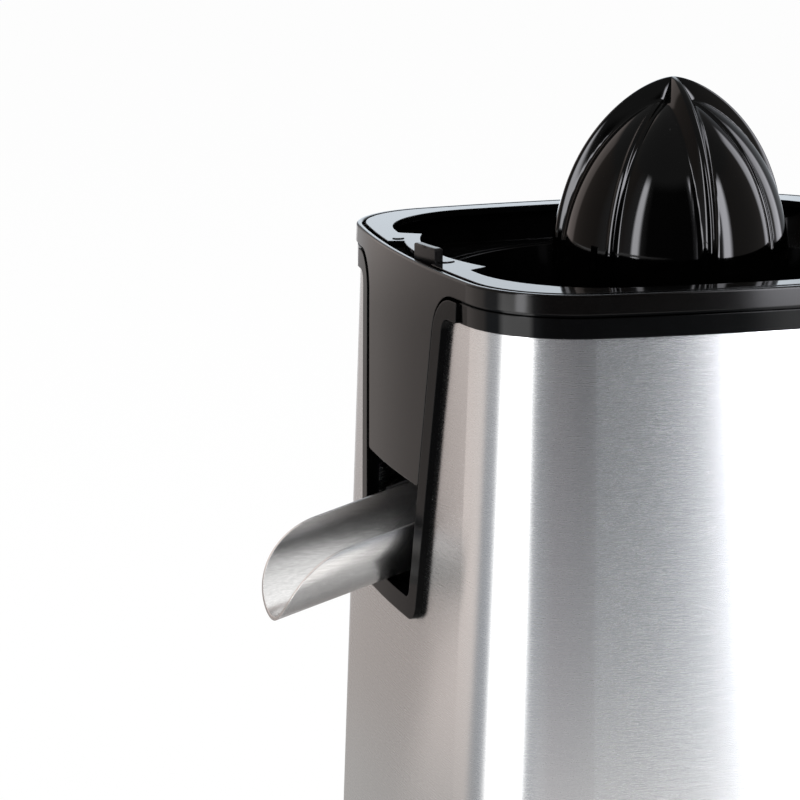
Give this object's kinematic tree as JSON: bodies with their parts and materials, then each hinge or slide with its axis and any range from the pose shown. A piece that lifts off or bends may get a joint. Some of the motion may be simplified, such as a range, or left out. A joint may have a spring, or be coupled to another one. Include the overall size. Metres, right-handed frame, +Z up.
{
  "type": "electric citrus juicer",
  "caption": "Square brushed steel electric citrus juicer: ribbed reamer cone over a lift-out bowl with strainer and pulp control, drained by a tilting steel spout in a front slot.",
  "frame": {"origin": "on the table plane under the feet, on the reamer's axis", "axes": "+Z up along the reamer's axis, -Y towards the spout, +X to the right when facing the spout from the front"},
  "size_m": [0.1788, 0.2104, 0.2867],
  "materials": {
    "brushed_steel": "brushed across",
    "spout_steel": "satin",
    "plain_steel": "turned",
    "satin_dark": "satin",
    "gloss_black": "gloss",
    "matte_black": "matte",
    "dark_grey": "satin",
    "white_nylon": "moulded",
    "rubber": "matte",
    "bronze": "sintered",
    "dark_iron": "plain"
  },
  "bodies": {
    "base": {"steel_sleeve": "brushed_steel", "slot_frame": "satin_dark", "top_trim_band": "gloss_black", "base_skirt": "matte_black", "base_plate": "matte_black", "rubber_foot_1": "rubber", "rubber_foot_2": "rubber", "rubber_foot_3": "rubber", "rubber_foot_4": "rubber", "cord_gland": "rubber", "inner_chassis": "matte_black", "lower_bush": "bronze", "upper_bush": "bronze", "shaft_seal": "rubber", "gearbox_case": "white_nylon", "gearbox_cover": "white_nylon", "idler_axle": "plain_steel", "motor_can": "plain_steel", "field_magnet_1": "dark_iron", "field_magnet_2": "dark_iron", "return_spring": "plain_steel", "power_switch": "matte_black"},
    "drive": {"output_gear": "white_nylon"},
    "shaft": {"drive_shaft": "plain_steel"},
    "rotor": {"rotor_core": "dark_iron", "rotor_shaft": "plain_steel", "motor_pinion": "bronze", "cooling_fan": "matte_black"},
    "idler": {"idler_gear": "white_nylon"},
    "plunger": {"switch_plunger": "white_nylon"},
    "bowl": {"juice_bowl": "gloss_black", "bowl_collar": "satin_dark"},
    "spout": {"spout_trough": "spout_steel", "spout_block": "matte_black", "spout_seal": "rubber"},
    "strainer": {"strainer": "gloss_black"},
    "pulp": {"pulp_ring": "matte_black", "pulp_tab": "dark_grey"},
    "bush": {"cone_bush": "white_nylon"},
    "hub": {"cone_hub": "matte_black"},
    "cone": {"reamer_cone": "gloss_black"}
  },
  "joints": [
    {"name": "drive_spin", "type": "hinge", "parent": "base", "child": "drive", "pos_m": [0, 0, 0.107], "axis": [0, 0, 1], "continuous": true},
    {"name": "shaft_press", "type": "slide", "parent": "drive", "child": "shaft", "axis": [0, 0, 1], "range_m": [-0.003, 0], "deforming": ["return_spring"]},
    {"name": "rotor_spin", "type": "hinge", "parent": "base", "child": "rotor", "pos_m": [0.035, 0.033, 0.06], "axis": [0, 0, 1], "continuous": true},
    {"name": "idler_spin", "type": "hinge", "parent": "base", "child": "idler", "pos_m": [0.035, 0, 0.1], "axis": [0, 0, 1], "continuous": true},
    {"name": "plunger_press", "type": "slide", "parent": "base", "child": "plunger", "axis": [0, 0, 1], "range_m": [-0.003, 0]},
    {"name": "bowl_lift", "type": "slide", "parent": "base", "child": "bowl", "axis": [0, 0, 1], "range_m": [0, 0.1]},
    {"name": "spout_tilt", "type": "hinge", "parent": "bowl", "child": "spout", "pos_m": [0, -0.045, 0.17], "axis": [-1, 0, 0], "range_deg": [0, 15.5]},
    {"name": "strainer_lift", "type": "slide", "parent": "bowl", "child": "strainer", "axis": [0, 0, 1], "range_m": [0, 0.06]},
    {"name": "pulp_turn", "type": "hinge", "parent": "bowl", "child": "pulp", "pos_m": [0, 0, 0.21], "axis": [0, 0, -1], "range_deg": [0, 19]},
    {"name": "cone_spin", "type": "hinge", "parent": "strainer", "child": "bush", "pos_m": [0, 0, 0.214], "axis": [0, 0, 1], "continuous": true},
    {"name": "cone_press", "type": "slide", "parent": "bush", "child": "hub", "axis": [0, 0, 1], "range_m": [-0.003, 0], "stiffness_N_per_m": 600, "springref_m": 0.008},
    {"name": "cone_lift", "type": "slide", "parent": "hub", "child": "cone", "axis": [0, 0, 1], "range_m": [0, 0.06]}
  ],
  "couplings": [
    {"joint": "idler_spin", "follows": "drive_spin", "ratio": -4.3846},
    {"joint": "rotor_spin", "follows": "drive_spin", "ratio": 19.731},
    {"joint": "cone_spin", "follows": "drive_spin", "ratio": 1},
    {"joint": "shaft_press", "follows": "cone_press", "ratio": 1},
    {"joint": "plunger_press", "follows": "cone_press", "ratio": 1}
  ]
}
